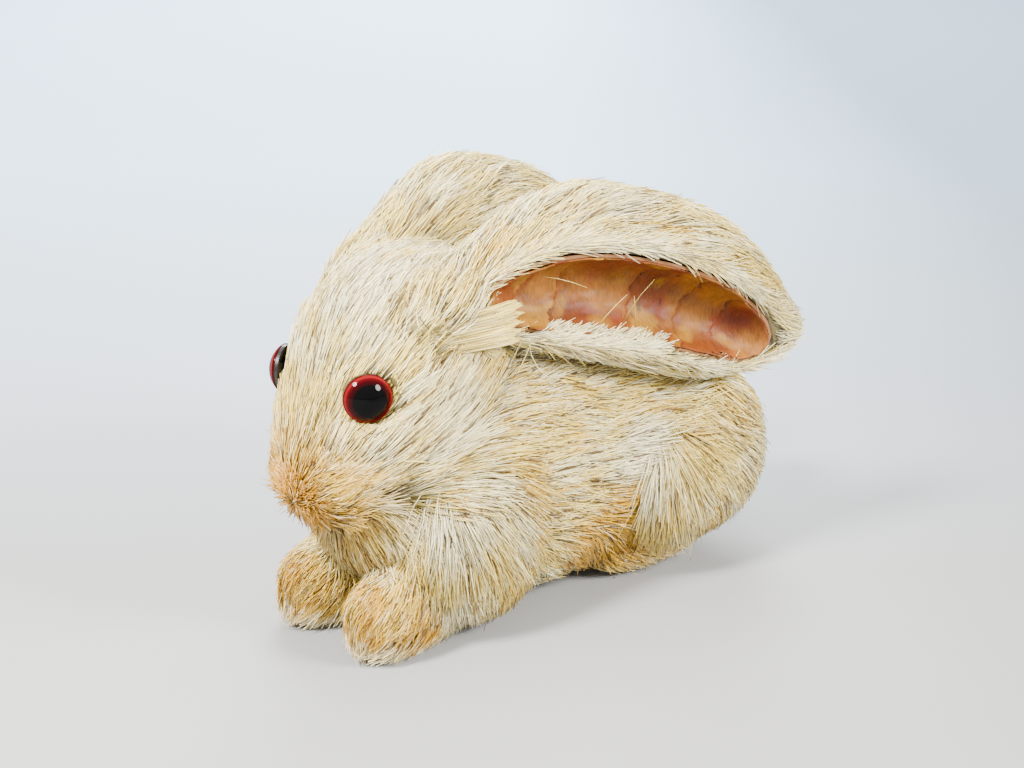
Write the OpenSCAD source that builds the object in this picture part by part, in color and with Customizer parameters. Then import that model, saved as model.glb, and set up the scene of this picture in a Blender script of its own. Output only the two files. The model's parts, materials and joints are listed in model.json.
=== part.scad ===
// Crouching rabbit figure: pressed-fibre cores pegged together, under a coat of glued natural bristle.
// Frame: +Z up, nose towards -Y, the rabbit's left side towards +X, origin on the floor under the middle of the box.

/* [Torso] */
// Front end of the torso, measured from the origin
torso_front = -85; // [-87:1:-83]
// Rear end of the torso, measured from the origin
torso_rear = 89; // [87:1:91]
// Thickness of the glued bristle coat
coat = 4.5; // [4:0.5:5]
// Thickness of the coat on the paws and feet
paw_coat = 3; // [2.5:0.5:3.5]
// Thickness of the felt pad under the belly
felt_thickness = 1.5; // [1.5:0.5:2]

/* [Head] */
// Length of the head from nose to nape, along its own axis
head_length = 98; // [96:1:100]
// Tilt of the head's axis, nose down
head_tilt = 42; // [40:1:44]
// Half width of the head at the cheeks
cheek_half_width = 32; // [31:0.5:33]
// Half width of each whisker pad beside the mouth
whisker_pad_half_width = 10; // [9:0.5:10]

/* [Eyes] */
// Diameter of each clear eye dome
eye_diameter = 15; // [13:0.5:15]
// Height of the dome above its iris disc
dome_height = 3.8; // [3:0.2:4.4]
// Diameter of the black pupil
pupil_diameter = 10.2; // [8:0.2:11]
// Diameter of the shank behind each eye
shank_diameter = 3.5; // [3:0.5:4]
// Length of the shank behind each eye
shank_length = 14; // [10:1:16]

/* [Ears] */
// Length of each ear from its root to its tip
ear_length = 148; // [144:1:150]
// Half height of the ear at its widest
ear_half_height = 28.5; // [28:0.5:30]
// Half thickness of the ear at its fullest
ear_half_thickness = 14; // [13:0.5:15]
// Outward splay of the ears from the middle plane
ear_splay = 11; // [10:0.5:12]
// Downward slope of the ears from root to tip
ear_slope = 12; // [11:0.5:13]
// Thickness of the card shell inside each ear
card_thickness = 1; // [0.8:0.1:1.2]
// Thickness of the bark strips that line each ear
bark_thickness = 0.8; // [0.6:0.1:1]
// Number of bark strips in each ear
bark_strips = 6; // [4:1:8]
// Diameter of the wire in each ear
wire_diameter = 2; // [1.6:0.2:2.2]

/* [Pegs] */
// Diameter of the wooden dowel in the neck
neck_dowel_diameter = 10; // [8:1:12]
// Diameter of the bamboo pegs that pin the limbs and the tail
peg_diameter = 3; // [2.5:0.5:3.5]

/* [Hidden] */
glue_gap = 0.05;

head_centre = [0, -63, 82];
neck_dowel_foot = [0, -33, 52];
neck_dowel_length = 44;
whisker_pad_side = 10.5;
whisker_pad_height = 58;
muzzle_front = -102;
muzzle_rear = -80;
tail_rear = 102;
tail_height = 44;
tail_half_width = 13;

felt_half_width = 9;
felt_front = -29;
felt_rear = 53;

shoulder_peg_place = [12, -45, 33];
haunch_peg_place = [16, 47, 40];
side_peg_length = 20;
forepaw_peg_place = [13, -63, 9];
forepaw_peg_length = 22;
hind_foot_peg_place = [18, 33, 7];
hind_foot_peg_length = 20;
tail_peg_place = [0, 67, 44];
tail_peg_length = 26;

eye_place_point = [20.5, -85, 87];
eye_forward_angle = 26;
eye_sink = 0.8;
iris_thickness = 0.8;
flange_thickness = 1;

ear_root = [20, -63, 111];
ear_pivot_along = 8;
ear_ball_radius = 11;
ear_cup_start = 15;
ear_cup_end = 16;
ear_cup_offset = 14;
ear_cup_drop = 5;
ear_wire_bow_up = 14;
ear_wire_bow_in = 9;
ear_wire_chord_end = 136;
ear_wire_end = 124;
ear_wire_gap = 0.5;
ear_anchor_length = 22;
ear_anchor_turn = 40;
ear_anchor_gap = 2;
ear_swing_out = 20;
ear_swing_step = 10;
ear_clearance = 1;
ear_root_reach = 50;
anchor_clearance = 0.6;
strip_gap = 0.3;

// ---- smooth closed forms ----

// Value at t (0 to 1) along evenly spaced control values, passing smoothly through each
function along(v, t) =
    let (
        last = len(v) - 1,
        k = min(floor(t * last), last - 1),
        u = t * last - k,
        a = v[max(k - 1, 0)],
        b = v[k],
        c = v[k + 1],
        d = v[min(k + 2, last)]
    )
    b + 0.5 * u * (c - a + u * (2 * a - 5 * b + 4 * c - d + u * (3 * (b - c) + d - a)));

// Share of the full radius left at t, so that both ends close as round noses
function closing(t, fullness) = pow(max(0, 1 - pow(abs(2 * t - 1), fullness)), 1 / fullness);

// Signed power, for a section between an ellipse and a rounded box
function bulge(v, squareness) = sign(v) * pow(abs(v), 2 / squareness);

// A closed form along Y: rings of half width and half height about a centre line of heights
module pod(front, rear, centres, widths, heights, inset = 0, rings = 14, sides = 20,
           fullness = 2.4, squareness = 2.2) {
    steps = [for (i = [1 : rings - 1]) (1 - cos(180 * i / rings)) / 2];
    ring_points = [
        for (t = steps, j = [0 : sides - 1])
            let (
                angle = 360 * j / sides,
                close = closing(t, fullness),
                w = (along(widths, t) - inset) * close,
                h = (along(heights, t) - inset) * close
            )
            [
                w * bulge(cos(angle), squareness),
                front + inset + (rear - front - 2 * inset) * t,
                along(centres, t) + h * bulge(sin(angle), squareness),
            ],
    ];
    nose = [0, front + inset, centres[0]];
    tail = [0, rear - inset, centres[len(centres) - 1]];
    count = (rings - 1) * sides;
    // The quads are split along opposite diagonals left and right, so the form is its own mirror image
    walls = [
        for (r = [0 : rings - 3], j = [0 : sides - 1])
            let (
                a = r * sides + j,
                b = r * sides + (j + 1) % sides,
                c = b + sides,
                d = a + sides,
                leftward = cos(360 * (j + 0.5) / sides) > 0
            )
            each (leftward ? [[a, b, c], [a, c, d]] : [[a, b, d], [b, c, d]]),
    ];
    polyhedron(
        points = concat(ring_points, [nose, tail]),
        faces = concat(
            [for (j = [0 : sides - 1]) [count, (j + 1) % sides, j]],
            walls,
            [for (j = [0 : sides - 1])
                [(rings - 2) * sides + j, (rings - 2) * sides + (j + 1) % sides, count + 1]]
        )
    );
}

// Everything below a height, for the flat underside
module below(height) {
    translate([-150, -150, height - 100])
        cube([300, 300, 100]);
}

// A peg along +X, and the hole it is glued into
module side_peg(place, gap = 0) {
    translate(place)
        rotate([0, 90, 0])
            cylinder(h = side_peg_length, d = peg_diameter + 2 * gap, $fn = 32);
}

module upright_peg(place, length, gap = 0) {
    translate(place)
        cylinder(h = length, d = peg_diameter + 2 * gap, $fn = 32);
}

module right_side() {
    mirror([1, 0, 0])
        children();
}

module both_sides() {
    children();
    right_side()
        children();
}

// ---- the forms that the cores and coats are cut from ----

module torso_form(inset = 0) {
    pod(
        torso_front, torso_rear,
        centres = [44, 50.5, 48, 45, 41],
        widths = [30, 37, 38, 42, 37],
        heights = [36, 50.5, 48, 44, 39],
        inset = inset, rings = 18, sides = 28, fullness = 2.7, squareness = 2.25
    );
}

module head_form(inset = 0) {
    translate(head_centre)
        rotate([head_tilt, 0, 0])
            pod(
                -head_length / 2, head_length / 2,
                centres = [-3, -3, -1, 1, 0],
                widths = [18, 29, cheek_half_width + 0.5, cheek_half_width, 26],
                heights = [17, 27, 34, 34, 28],
                inset = inset, rings = 18, sides = 28, fullness = 2.6
            );
}

module shoulder_form(inset = 0) {
    translate([20, 0, 0])
        pod(
            -75, -13,
            centres = [30, 32, 33.5, 34, 32],
            widths = [12, 17, 18, 17, 12],
            heights = [22, 29, 31.5, 31, 25],
            inset = inset
        );
}

module haunch_form(inset = 0) {
    translate([25, 0, 0])
        pod(
            7, 85,
            centres = [36, 39, 41, 40, 35],
            widths = [14, 19, 21, 21, 17],
            heights = [22, 31, 33, 32, 26],
            inset = inset
        );
}

module forepaw_form(inset = 0) {
    translate([13.5, 0, 0])
        rotate([0, 0, 3])
            pod(
                -91, -43,
                centres = [13, 13.5, 15, 18, 18],
                widths = [12, 13, 13, 12.5, 11],
                heights = [13.5, 15, 17, 20, 18],
                inset = inset, rings = 12, sides = 20, fullness = 3.2, squareness = 2.3
            );
}

module hind_foot_form(inset = 0) {
    translate([17, 0, 0])
        rotate([0, 0, -2])
            pod(
                3, 66,
                centres = [14, 14.5, 15, 15, 15],
                widths = [11, 13.5, 14, 13, 12],
                heights = [14, 15, 16, 16, 14],
                inset = inset, rings = 12, sides = 20, fullness = 2.8, squareness = 2.3
            );
}

module tail_form(inset = 0) {
    translate([0, 0, tail_height])
        pod(
            tail_rear - 30, tail_rear,
            centres = [0, 1, 2, 2, 1],
            widths = [10, tail_half_width, tail_half_width, tail_half_width, 10],
            heights = [11, 14, 15, 14, 11],
            inset = inset, rings = 12, sides = 20
        );
}

// ---- pegs and the pad ----

module neck_dowel_form(gap = 0) {
    translate(neck_dowel_foot)
        rotate([head_tilt + 4, 0, 0])
            cylinder(h = neck_dowel_length, d = neck_dowel_diameter + 2 * gap, $fn = 48);
}

module neck_dowel() {
    color("burlywood")
        neck_dowel_form();
}

module tail_peg_form(gap = 0) {
    translate(tail_peg_place)
        rotate([-90, 0, 0])
            cylinder(h = tail_peg_length, d = peg_diameter + 2 * gap, $fn = 32);
}

module tail_peg() {
    color("burlywood")
        tail_peg_form();
}

module left_shoulder_peg() {
    color("burlywood")
        side_peg(shoulder_peg_place);
}

module left_haunch_peg() {
    color("burlywood")
        side_peg(haunch_peg_place);
}

module left_forepaw_peg() {
    color("burlywood")
        upright_peg(forepaw_peg_place, forepaw_peg_length);
}

module left_hind_foot_peg() {
    color("burlywood")
        upright_peg(hind_foot_peg_place, hind_foot_peg_length);
}

module felt_pad() {
    color("dimgray")
        linear_extrude(height = felt_thickness)
            union() {
                translate([-felt_half_width, felt_front])
                    square([2 * felt_half_width, felt_rear - felt_front]);
                for (end = [felt_front, felt_rear])
                    translate([0, end])
                        circle(r = felt_half_width, $fn = 64);
            }
}

// ---- cores ----

module body_core() {
    color("tan")
        difference() {
            torso_form(coat);
            head_form(coat);
            below(felt_thickness);
            neck_dowel_form(glue_gap);
            tail_peg_form(glue_gap);
            both_sides() {
                side_peg(shoulder_peg_place, glue_gap);
                side_peg(haunch_peg_place, glue_gap);
                upright_peg(forepaw_peg_place, forepaw_peg_length, glue_gap);
                upright_peg(hind_foot_peg_place, hind_foot_peg_length, glue_gap);
            }
        }
}

module head_core() {
    color("tan")
        difference() {
            head_form(coat);
            neck_dowel_form(glue_gap);
            both_sides() {
                eye_shank_form(glue_gap);
                ear_socket();
            }
        }
}

module left_shoulder_core() {
    color("tan")
        difference() {
            shoulder_form(coat);
            torso_form(coat);
            head_form(coat);
            side_peg(shoulder_peg_place, glue_gap);
            upright_peg(forepaw_peg_place, forepaw_peg_length, glue_gap);
            below(felt_thickness);
        }
}

module left_haunch_core() {
    color("tan")
        difference() {
            haunch_form(coat);
            torso_form(coat);
            side_peg(haunch_peg_place, glue_gap);
            upright_peg(hind_foot_peg_place, hind_foot_peg_length, glue_gap);
            below(felt_thickness);
        }
}

module left_forepaw_core() {
    color("tan")
        difference() {
            forepaw_form(paw_coat);
            torso_form(coat);
            shoulder_form(coat);
            upright_peg(forepaw_peg_place, forepaw_peg_length, glue_gap);
            below(felt_thickness);
        }
}

module left_hind_foot_core() {
    color("tan")
        difference() {
            hind_foot_form(paw_coat);
            torso_form(coat);
            haunch_form(coat);
            upright_peg(hind_foot_peg_place, hind_foot_peg_length, glue_gap);
            below(felt_thickness);
        }
}

module tail_core() {
    color("tan")
        difference() {
            tail_form(coat);
            torso_form(coat);
            tail_peg_form(glue_gap);
        }
}

// ---- bristle coats ----

module head_coat() {
    color("wheat")
        difference() {
            head_form();
            head_form(coat);
            torso_form(coat);
            both_sides() {
                shoulder_form(coat);
                eye_pocket();
                ear_socket();
            }
        }
}

module whisker_pad_form() {
    side = whisker_pad_half_width;
    translate([whisker_pad_side, 0, whisker_pad_height])
        pod(
            muzzle_front, muzzle_rear,
            centres = [0, 0, 0],
            widths = [side, side, side],
            heights = [side + 1, side + 1, side + 1],
            rings = 12, sides = 20, fullness = 2, squareness = 2
        );
}

module left_whisker_pad() {
    color("burlywood")
        difference() {
            whisker_pad_form();
            head_form();
        }
}

module body_coat() {
    color("wheat")
        difference() {
            torso_form();
            torso_form(coat);
            head_form();
            tail_form(coat);
            both_sides() {
                shoulder_form(coat);
                haunch_form(coat);
                forepaw_form(paw_coat);
                hind_foot_form(paw_coat);
                ear_room();
            }
            felt_pad();
            below(0);
        }
}

module left_shoulder_coat() {
    color("wheat")
        difference() {
            shoulder_form();
            shoulder_form(coat);
            torso_form();
            head_form();
            forepaw_form();
            below(0);
        }
}

module left_haunch_coat() {
    color("wheat")
        difference() {
            haunch_form();
            haunch_form(coat);
            torso_form();
            hind_foot_form();
            below(0);
        }
}

module left_forepaw_coat() {
    color("peru")
        difference() {
            forepaw_form();
            forepaw_form(paw_coat);
            torso_form();
            shoulder_form(coat);
            head_form();
            below(0);
        }
}

module left_hind_foot_coat() {
    color("peru")
        difference() {
            hind_foot_form();
            hind_foot_form(paw_coat);
            torso_form();
            haunch_form(coat);
            below(0);
        }
}

module tail_coat() {
    color("ivory")
        difference() {
            tail_form();
            tail_form(coat);
            torso_form();
        }
}

// ---- ears ----

module ear_place() {
    translate(ear_root)
        rotate([-ear_slope, 0, -ear_splay])
            children();
}

module ear_form(inset = 0) {
    pod(
        -2, ear_length,
        centres = [3, 14.5, 14.5, 9, 1.5],
        widths = [9, 12, ear_half_thickness, ear_half_thickness, 10],
        heights = [18, 27, ear_half_height, ear_half_height, 19],
        inset = inset, rings = 18, sides = 24, fullness = 2.3
    );
}

// The hollow of the ear, open to the side
module ear_cup(inset = 0) {
    translate([ear_cup_offset, 0, -ear_cup_drop])
        pod(
            ear_cup_start, ear_length - ear_cup_end,
            centres = [8, 13.5, 14, 10, 2],
            widths = [17, 18, 18, 18, 16],
            heights = [12.5, 14, 14, 13.5, 12],
            inset = inset, rings = 14, sides = 20, fullness = 3.4
        );
}

// The hinge line: the upright line through the ball at the ear's root
module at_ear_pivot(swing = 0) {
    translate([0, ear_pivot_along, 0])
        rotate([0, 0, -swing])
            translate([0, -ear_pivot_along, 0])
                children();
}

module ear_ball(radius) {
    translate([0, ear_pivot_along, 0])
        sphere(r = radius, $fn = 36);
}

// Room for the ear at rest
module ear_room() {
    ear_place()
        ear_form(-ear_clearance);
}

// Room for the ear's root as far as it swings, as one convex block
module ear_root_room() {
    ear_place()
        hull()
            for (swing = [0 : ear_swing_step : ear_swing_out])
                at_ear_pivot(swing)
                    intersection() {
                        ear_form(-ear_clearance);
                        translate([-50, -20, -50])
                            cube([100, 20 + ear_root_reach, 100]);
                    }
}

// The head's pocket for the ball, the anchor wire and the swinging root
module ear_socket() {
    ear_root_room();
    ear_place() {
        ear_ball(ear_ball_radius + ear_clearance);
        ear_anchor_rod(glue_gap);
    }
}

// The wire bows up and inwards, to lie in the wall behind the ear's hollow
module ear_wire_form(gap = 0) {
    bow = norm([ear_wire_bow_in, ear_wire_bow_up]);
    half_chord = (ear_wire_chord_end - ear_pivot_along) / 2;
    arc_radius = half_chord * half_chord / (2 * bow) + bow / 2;
    start = asin((ear_wire_gap - half_chord) / arc_radius);
    end = asin((ear_wire_end - ear_pivot_along - half_chord) / arc_radius);
    translate([0, ear_pivot_along + half_chord, 0])
        rotate([0, -atan2(ear_wire_bow_in, ear_wire_bow_up), 0])
            translate([0, 0, bow - arc_radius])
                rotate([0, -90, 0])
                    rotate([0, 0, start])
                        rotate_extrude(angle = end - start, $fn = 180)
                            translate([arc_radius, 0])
                                circle(d = wire_diameter + 2 * gap, $fn = 24);
}

// The anchor runs forwards and inwards from the pivot, into the middle of the head
module ear_anchor_rod(gap = 0) {
    at_ear_pivot(ear_anchor_turn)
        translate([0, ear_pivot_along - ear_anchor_length, 0])
            rotate([-90, 0, 0])
                cylinder(h = ear_anchor_length - ear_anchor_gap + gap, d = wire_diameter + 2 * gap, $fn = 32);
}

// Fan-shaped slot in the ball for the bare end of the anchor, which stays still as the ear swings
module ear_anchor_slot() {
    half_width = wire_diameter / 2 + anchor_clearance;
    reach = ear_ball_radius + 2;
    turn = ear_swing_out;
    at_ear_pivot(ear_anchor_turn)
        translate([0, ear_pivot_along, 0])
            linear_extrude(height = 2 * half_width, center = true)
                polygon([
                    [-half_width, 0],
                    [-half_width, -reach],
                    [half_width * cos(turn) + reach * sin(turn), half_width * sin(turn) - reach * cos(turn)],
                    [half_width * cos(turn), half_width * sin(turn)],
                ]);
}

module left_ear_coat() {
    color("wheat")
        ear_place()
            difference() {
                union() {
                    ear_form();
                    ear_ball(ear_ball_radius);
                }
                ear_cup();
                ear_wire_form(glue_gap);
                ear_anchor_slot();
            }
}

module left_ear_card() {
    color("sienna")
        ear_place()
            intersection() {
                ear_form(1);
                difference() {
                    ear_cup();
                    ear_cup(card_thickness);
                }
            }
}

module left_ear_lining() {
    strip = (ear_length - ear_cup_end - ear_cup_start) / bark_strips;
    color("peru")
        ear_place()
            for (i = [0 : bark_strips - 1])
                intersection() {
                    ear_form(1);
                    difference() {
                        ear_cup(card_thickness);
                        ear_cup(card_thickness + bark_thickness);
                    }
                    translate([-50, ear_cup_start + i * strip + strip_gap / 2, -50])
                        cube([100, strip - strip_gap, 100]);
                }
}

module left_ear_wire() {
    color("silver")
        ear_place()
            ear_wire_form();
}

module left_ear_anchor() {
    color("silver")
        ear_place()
            ear_anchor_rod();
}

// ---- eyes ----

module eye_place() {
    translate(eye_place_point)
        rotate([0, 0, -eye_forward_angle])
            rotate([0, 90, 0])
                children();
}

module eye_pocket() {
    eye_place() {
        translate([0, 0, -eye_sink])
            cylinder(h = 20, d = eye_diameter, $fn = 64);
        translate([0, 0, -eye_sink - shank_length])
            cylinder(h = shank_length + 1, d = shank_diameter + 2 * glue_gap, $fn = 32);
    }
}

module eye_shank_form(gap = 0) {
    eye_place() {
        translate([0, 0, -eye_sink])
            cylinder(h = flange_thickness, d = eye_diameter, $fn = 64);
        translate([0, 0, -eye_sink - shank_length])
            cylinder(h = shank_length + 0.5, d = shank_diameter + 2 * gap, $fn = 32);
    }
}

module left_eye_shank() {
    color("black")
        eye_shank_form();
}

module left_eye_iris() {
    color("red")
        eye_place()
            translate([0, 0, flange_thickness - eye_sink])
                difference() {
                    cylinder(h = iris_thickness, d = eye_diameter, $fn = 64);
                    translate([0, 0, -1])
                        cylinder(h = iris_thickness + 2, d = pupil_diameter, $fn = 64);
                }
}

module left_eye_pupil() {
    color("black")
        eye_place()
            translate([0, 0, flange_thickness - eye_sink])
                cylinder(h = iris_thickness, d = pupil_diameter, $fn = 64);
}

module left_eye_dome() {
    radius = eye_diameter / 2;
    cap_radius = (radius * radius + dome_height * dome_height) / (2 * dome_height);
    color("red", 0.4)
        eye_place()
            translate([0, 0, flange_thickness + iris_thickness - eye_sink])
                intersection() {
                    translate([0, 0, dome_height - cap_radius])
                        sphere(r = cap_radius, $fn = 96);
                    cylinder(h = dome_height + 1, r = radius + 1, $fn = 64);
                }
}

// ---- one line for each node ----

body_core();
head_core();
neck_dowel();
felt_pad();
left_shoulder_core();
right_side() left_shoulder_core();  // right_shoulder_core
left_shoulder_peg();
right_side() left_shoulder_peg();  // right_shoulder_peg
left_haunch_core();
right_side() left_haunch_core();  // right_haunch_core
left_haunch_peg();
right_side() left_haunch_peg();  // right_haunch_peg
left_forepaw_core();
right_side() left_forepaw_core();  // right_forepaw_core
left_forepaw_peg();
right_side() left_forepaw_peg();  // right_forepaw_peg
left_hind_foot_core();
right_side() left_hind_foot_core();  // right_hind_foot_core
left_hind_foot_peg();
right_side() left_hind_foot_peg();  // right_hind_foot_peg
tail_core();
tail_peg();
head_coat();
left_whisker_pad();
right_side() left_whisker_pad();  // right_whisker_pad
body_coat();
left_shoulder_coat();
right_side() left_shoulder_coat();  // right_shoulder_coat
left_haunch_coat();
right_side() left_haunch_coat();  // right_haunch_coat
left_forepaw_coat();
right_side() left_forepaw_coat();  // right_forepaw_coat
left_hind_foot_coat();
right_side() left_hind_foot_coat();  // right_hind_foot_coat
tail_coat();
left_ear_coat();
right_side() left_ear_coat();  // right_ear_coat
left_ear_card();
right_side() left_ear_card();  // right_ear_card
left_ear_lining();
right_side() left_ear_lining();  // right_ear_lining
left_ear_wire();
right_side() left_ear_wire();  // right_ear_wire
left_ear_anchor();
right_side() left_ear_anchor();  // right_ear_anchor
left_eye_dome();
right_side() left_eye_dome();  // right_eye_dome
left_eye_iris();
right_side() left_eye_iris();  // right_eye_iris
left_eye_pupil();
right_side() left_eye_pupil();  // right_eye_pupil
left_eye_shank();
right_side() left_eye_shank();  // right_eye_shank
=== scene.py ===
import json
import math

import bpy
import numpy as np
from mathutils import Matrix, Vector, noise
from mathutils.bvhtree import BVHTree
from mathutils.kdtree import KDTree


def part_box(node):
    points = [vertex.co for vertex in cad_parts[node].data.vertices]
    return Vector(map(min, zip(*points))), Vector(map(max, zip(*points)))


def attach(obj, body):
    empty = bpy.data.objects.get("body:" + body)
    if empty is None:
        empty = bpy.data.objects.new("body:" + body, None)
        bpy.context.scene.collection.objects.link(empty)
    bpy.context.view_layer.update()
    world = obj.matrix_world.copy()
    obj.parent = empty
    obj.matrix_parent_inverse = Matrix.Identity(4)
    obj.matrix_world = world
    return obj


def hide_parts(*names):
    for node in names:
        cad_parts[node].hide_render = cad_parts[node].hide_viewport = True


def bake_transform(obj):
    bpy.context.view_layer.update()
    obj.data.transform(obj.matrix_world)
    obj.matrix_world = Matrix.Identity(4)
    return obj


# Straw-bristle rabbit figure: skins, bristles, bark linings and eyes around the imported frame.
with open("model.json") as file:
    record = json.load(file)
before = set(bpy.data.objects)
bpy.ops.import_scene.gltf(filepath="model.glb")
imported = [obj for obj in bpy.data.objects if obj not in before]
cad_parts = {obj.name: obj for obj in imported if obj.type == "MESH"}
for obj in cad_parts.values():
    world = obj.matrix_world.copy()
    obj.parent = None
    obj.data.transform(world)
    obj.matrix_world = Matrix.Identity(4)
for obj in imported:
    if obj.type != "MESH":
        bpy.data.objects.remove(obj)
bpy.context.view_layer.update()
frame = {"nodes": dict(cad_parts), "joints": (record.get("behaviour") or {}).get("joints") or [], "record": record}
mm = 0.001
print("frame loaded")

sides = {"left": 1, "right": -1}
rootCoats = ["head_coat", "body_coat", "tail_coat"] + [
    f"{side}_{part}"
    for side in sides
    for part in ("whisker_pad", "shoulder_coat", "haunch_coat", "forepaw_coat", "hind_foot_coat")
]


# small helpers

def deselect():
    bpy.ops.object.select_all(action="DESELECT")


def makeActive(piece):
    deselect()
    piece.select_set(True)
    bpy.context.view_layer.objects.active = piece


def copyNodes(nodes, name):
    # one new mesh from the named CAD nodes, with its doubles merged; the nodes stay as they are
    deselect()
    for node in nodes:
        frame["nodes"][node].select_set(True)
    bpy.context.view_layer.objects.active = frame["nodes"][nodes[0]]
    bpy.ops.object.duplicate()
    if len(nodes) > 1:
        bpy.ops.object.join()
    piece = bpy.context.view_layer.objects.active
    piece.name = name
    piece.data.name = name
    piece.parent = None
    for key in list(piece.keys()):
        del piece[key]
    piece.data.materials.clear()
    makeActive(piece)
    bpy.ops.object.mode_set(mode="EDIT")
    bpy.ops.mesh.select_all(action="SELECT")
    bpy.ops.mesh.remove_doubles(threshold=0.00001)
    bpy.ops.object.mode_set(mode="OBJECT")
    return piece


def applyAll(piece):
    makeActive(piece)
    for modifier in list(piece.modifiers):
        bpy.ops.object.modifier_apply(modifier=modifier.name)


def remeshSmooth(piece, voxel, rounds, drawIn=0.0):
    remesh = piece.modifiers.new("remesh", "REMESH")
    remesh.mode = "VOXEL"
    remesh.voxel_size = voxel * mm
    remesh.use_smooth_shade = True
    smooth = piece.modifiers.new("smooth", "SMOOTH")
    smooth.factor = 0.5
    smooth.iterations = rounds
    if drawIn:
        shrink = piece.modifiers.new("shrink", "DISPLACE")
        shrink.mid_level = 0
        shrink.strength = -drawIn * mm
    applyAll(piece)
    return piece


def readArray(items, key, width, kind=np.float32):
    values = np.empty(len(items) * width, kind)
    items.foreach_get(key, values)
    return values.reshape(-1, width) if width > 1 else values


def unit(vectors):
    return vectors / np.maximum(np.linalg.norm(vectors, axis=-1, keepdims=True), 1e-9)


def smoothStep(values, low, high):
    t = np.clip((values - low) / (high - low), 0, 1)
    return t * t * (3 - 2 * t)


def treeOf(piece):
    mesh = piece.data
    points = [v.co / mm for v in mesh.vertices]
    return BVHTree.FromPolygons(points, [tuple(p.vertices) for p in mesh.polygons])


def colour(red, green, blue):
    # a colour as it is seen, turned into the linear values that shaders take
    return np.array([channel ** 2.2 for channel in (red, green, blue)])


# materials

class Shade:
    # a shader socket that takes arithmetic, and makes the nodes around it
    def __init__(self, tree, socket=None):
        self.tree = tree
        self.socket = socket

    def node(self, kind, settings, inputs, output=0):
        made = self.tree.nodes.new(kind)
        for key, value in settings.items():
            if key == "stops":
                ramp = made.color_ramp.elements
                while len(ramp) < len(value):
                    ramp.new(0.5)
                for element, (position, shown) in zip(ramp, value):
                    element.position = position
                    element.color = (*shown, 1)
            else:
                setattr(made, key, value)
        for key, value in inputs.items():
            if isinstance(value, Shade):
                self.tree.links.new(value.socket, made.inputs[key])
            else:
                made.inputs[key].default_value = value
        return Shade(self.tree, made.outputs[output])

    def maths(self, operation, first, second):
        return self.node("ShaderNodeMath", {"operation": operation}, {0: first, 1: second})

    def __add__(self, other):
        return self.maths("ADD", self, other)

    __radd__ = __add__

    def __sub__(self, other):
        return self.maths("SUBTRACT", self, other)

    def __rsub__(self, other):
        return self.maths("SUBTRACT", other, self)

    def __mul__(self, other):
        return self.maths("MULTIPLY", self, other)

    __rmul__ = __mul__

    def __pow__(self, other):
        return self.maths("POWER", self, other)

    def clamp(self, low, high):
        return self.node("ShaderNodeClamp", {}, {"Value": self, "Min": low, "Max": high})


def newMaterial(name, constants):
    material = bpy.data.materials.new(name)
    material.use_nodes = True
    surface = material.node_tree.nodes["Principled BSDF"]
    for key, value in constants.items():
        surface.inputs[key].default_value = value
    return material, surface, Shade(material.node_tree)


def feed(shade, surface, key, value):
    shade.tree.links.new(value.socket, surface.inputs[key])


def objectPoint(shade, scale=(1, 1, 1)):
    point = shade.node("ShaderNodeTexCoord", {}, {}, "Object")
    return shade.node("ShaderNodeMapping", {}, {"Vector": point, "Scale": scale})


def noiseAt(shade, point, scale, detail):
    inputs = {"Vector": point, "Scale": scale, "Detail": detail, "Roughness": 0.55}
    return shade.node("ShaderNodeTexNoise", {}, inputs)


def mixColour(shade, factor, first, second, blend="MIX"):
    settings = {"data_type": "RGBA", "blend_type": blend}
    return shade.node("ShaderNodeMix", settings, {0: factor, 6: first, 7: second}, 2)


def bumpFrom(shade, height, strength, distance):
    inputs = {"Height": height, "Strength": strength, "Distance": distance}
    return shade.node("ShaderNodeBump", {}, inputs)


def strawMaterial(name, shadeFactor):
    # dry shiny straw: the tint of each bristle is its own, with a fine grain over it, and the whole scaled down by
    # the last argument as painted shade where the straw lies under other straw
    material, surface, shade = newMaterial(name, {"Specular IOR Level": 0.55})
    tint = shade.node("ShaderNodeAttribute", {"attribute_name": "tint"}, {}, "Color")
    grain = noiseAt(shade, objectPoint(shade), 900.0, 2.0)
    tone = (grain * 0.3 + 0.85) * shadeFactor
    grey = shade.node("ShaderNodeCombineColor", {}, {"Red": tone, "Green": tone, "Blue": tone})
    feed(shade, surface, "Base Color", mixColour(shade, 1.0, tint, grey, "MULTIPLY"))
    feed(shade, surface, "Roughness", grain * 0.3 + 0.2)
    return material


def plainMaterial(name, dark, light, settings):
    # two tones through a stretched noise, with a light bump: for the pieces inside and below
    material, surface, shade = newMaterial(name, {"Metallic": settings.get("metallic", 0.0)})
    point = objectPoint(shade, settings.get("stretch", (1, 1, 1)))
    grain = noiseAt(shade, point, settings["scale"], 4.0)
    feed(shade, surface, "Base Color", mixColour(shade, grain, (*dark, 1), (*light, 1)))
    feed(shade, surface, "Roughness", grain * 0.2 + settings["rough"])
    feed(shade, surface, "Normal", bumpFrom(shade, grain, settings["bump"], 0.0004))
    return material


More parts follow.
